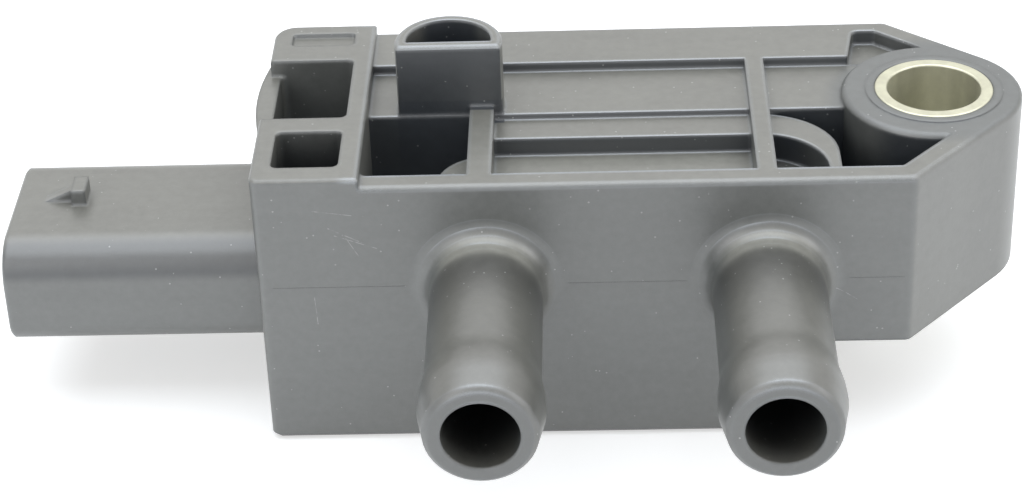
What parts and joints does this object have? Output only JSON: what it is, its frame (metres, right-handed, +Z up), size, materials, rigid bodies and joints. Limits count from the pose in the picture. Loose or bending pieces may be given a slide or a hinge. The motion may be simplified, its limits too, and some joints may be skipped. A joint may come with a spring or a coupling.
{
  "type": "differential pressure sensor",
  "caption": "Differential pressure sensor for a particulate filter: moulded body, hose nipples, plug shell, locating peg and sleeved fixing eye.",
  "frame": {"origin": "on the axis of the fixing bore, in the sleeve's top face, which seats on the bracket", "axes": "+X from the plug towards the fixing eye, +Y away from the hose nipples, +Z up along the bore, towards the bracket"},
  "size_m": [0.0729, 0.0401, 0.0259],
  "materials": {
    "black_plastic": "moulded glass-filled black plastic, satin",
    "plated_steel": "plated steel, warm white",
    "cover_plastic": "moulded black plastic",
    "sealant": "cured black sealant",
    "tinned_brass": "tin-plated brass strip",
    "inner_plastic": "moulded black plastic",
    "seal_rubber": "fluorocarbon rubber",
    "board_laminate": "green solder resist on glass laminate",
    "package_plastic": "moulded epoxy",
    "pedestal_glass": "ground glass",
    "die_silicon": "polished silicon",
    "clear_gel": "soft clear gel",
    "ceramic": "fired ceramic with tinned ends"
  },
  "bodies": {
    "root": {"housing": "black_plastic", "fixing_sleeve": "plated_steel", "base_cover": "cover_plastic", "cover_seal": "sealant", "terminal_supply": "tinned_brass", "terminal_signal": "tinned_brass", "terminal_ground": "tinned_brass", "chamber_plate": "inner_plastic", "port_seal_high": "seal_rubber", "port_seal_low": "seal_rubber", "circuit_board": "board_laminate", "module_body": "package_plastic", "module_lid": "package_plastic", "module_leads": "tinned_brass", "glass_pedestal": "pedestal_glass", "pressure_die": "die_silicon", "protective_gel": "clear_gel", "signal_chip": "package_plastic", "supply_capacitor": "ceramic", "signal_capacitor": "ceramic", "filter_resistor": "ceramic"}
  },
  "joints": []
}
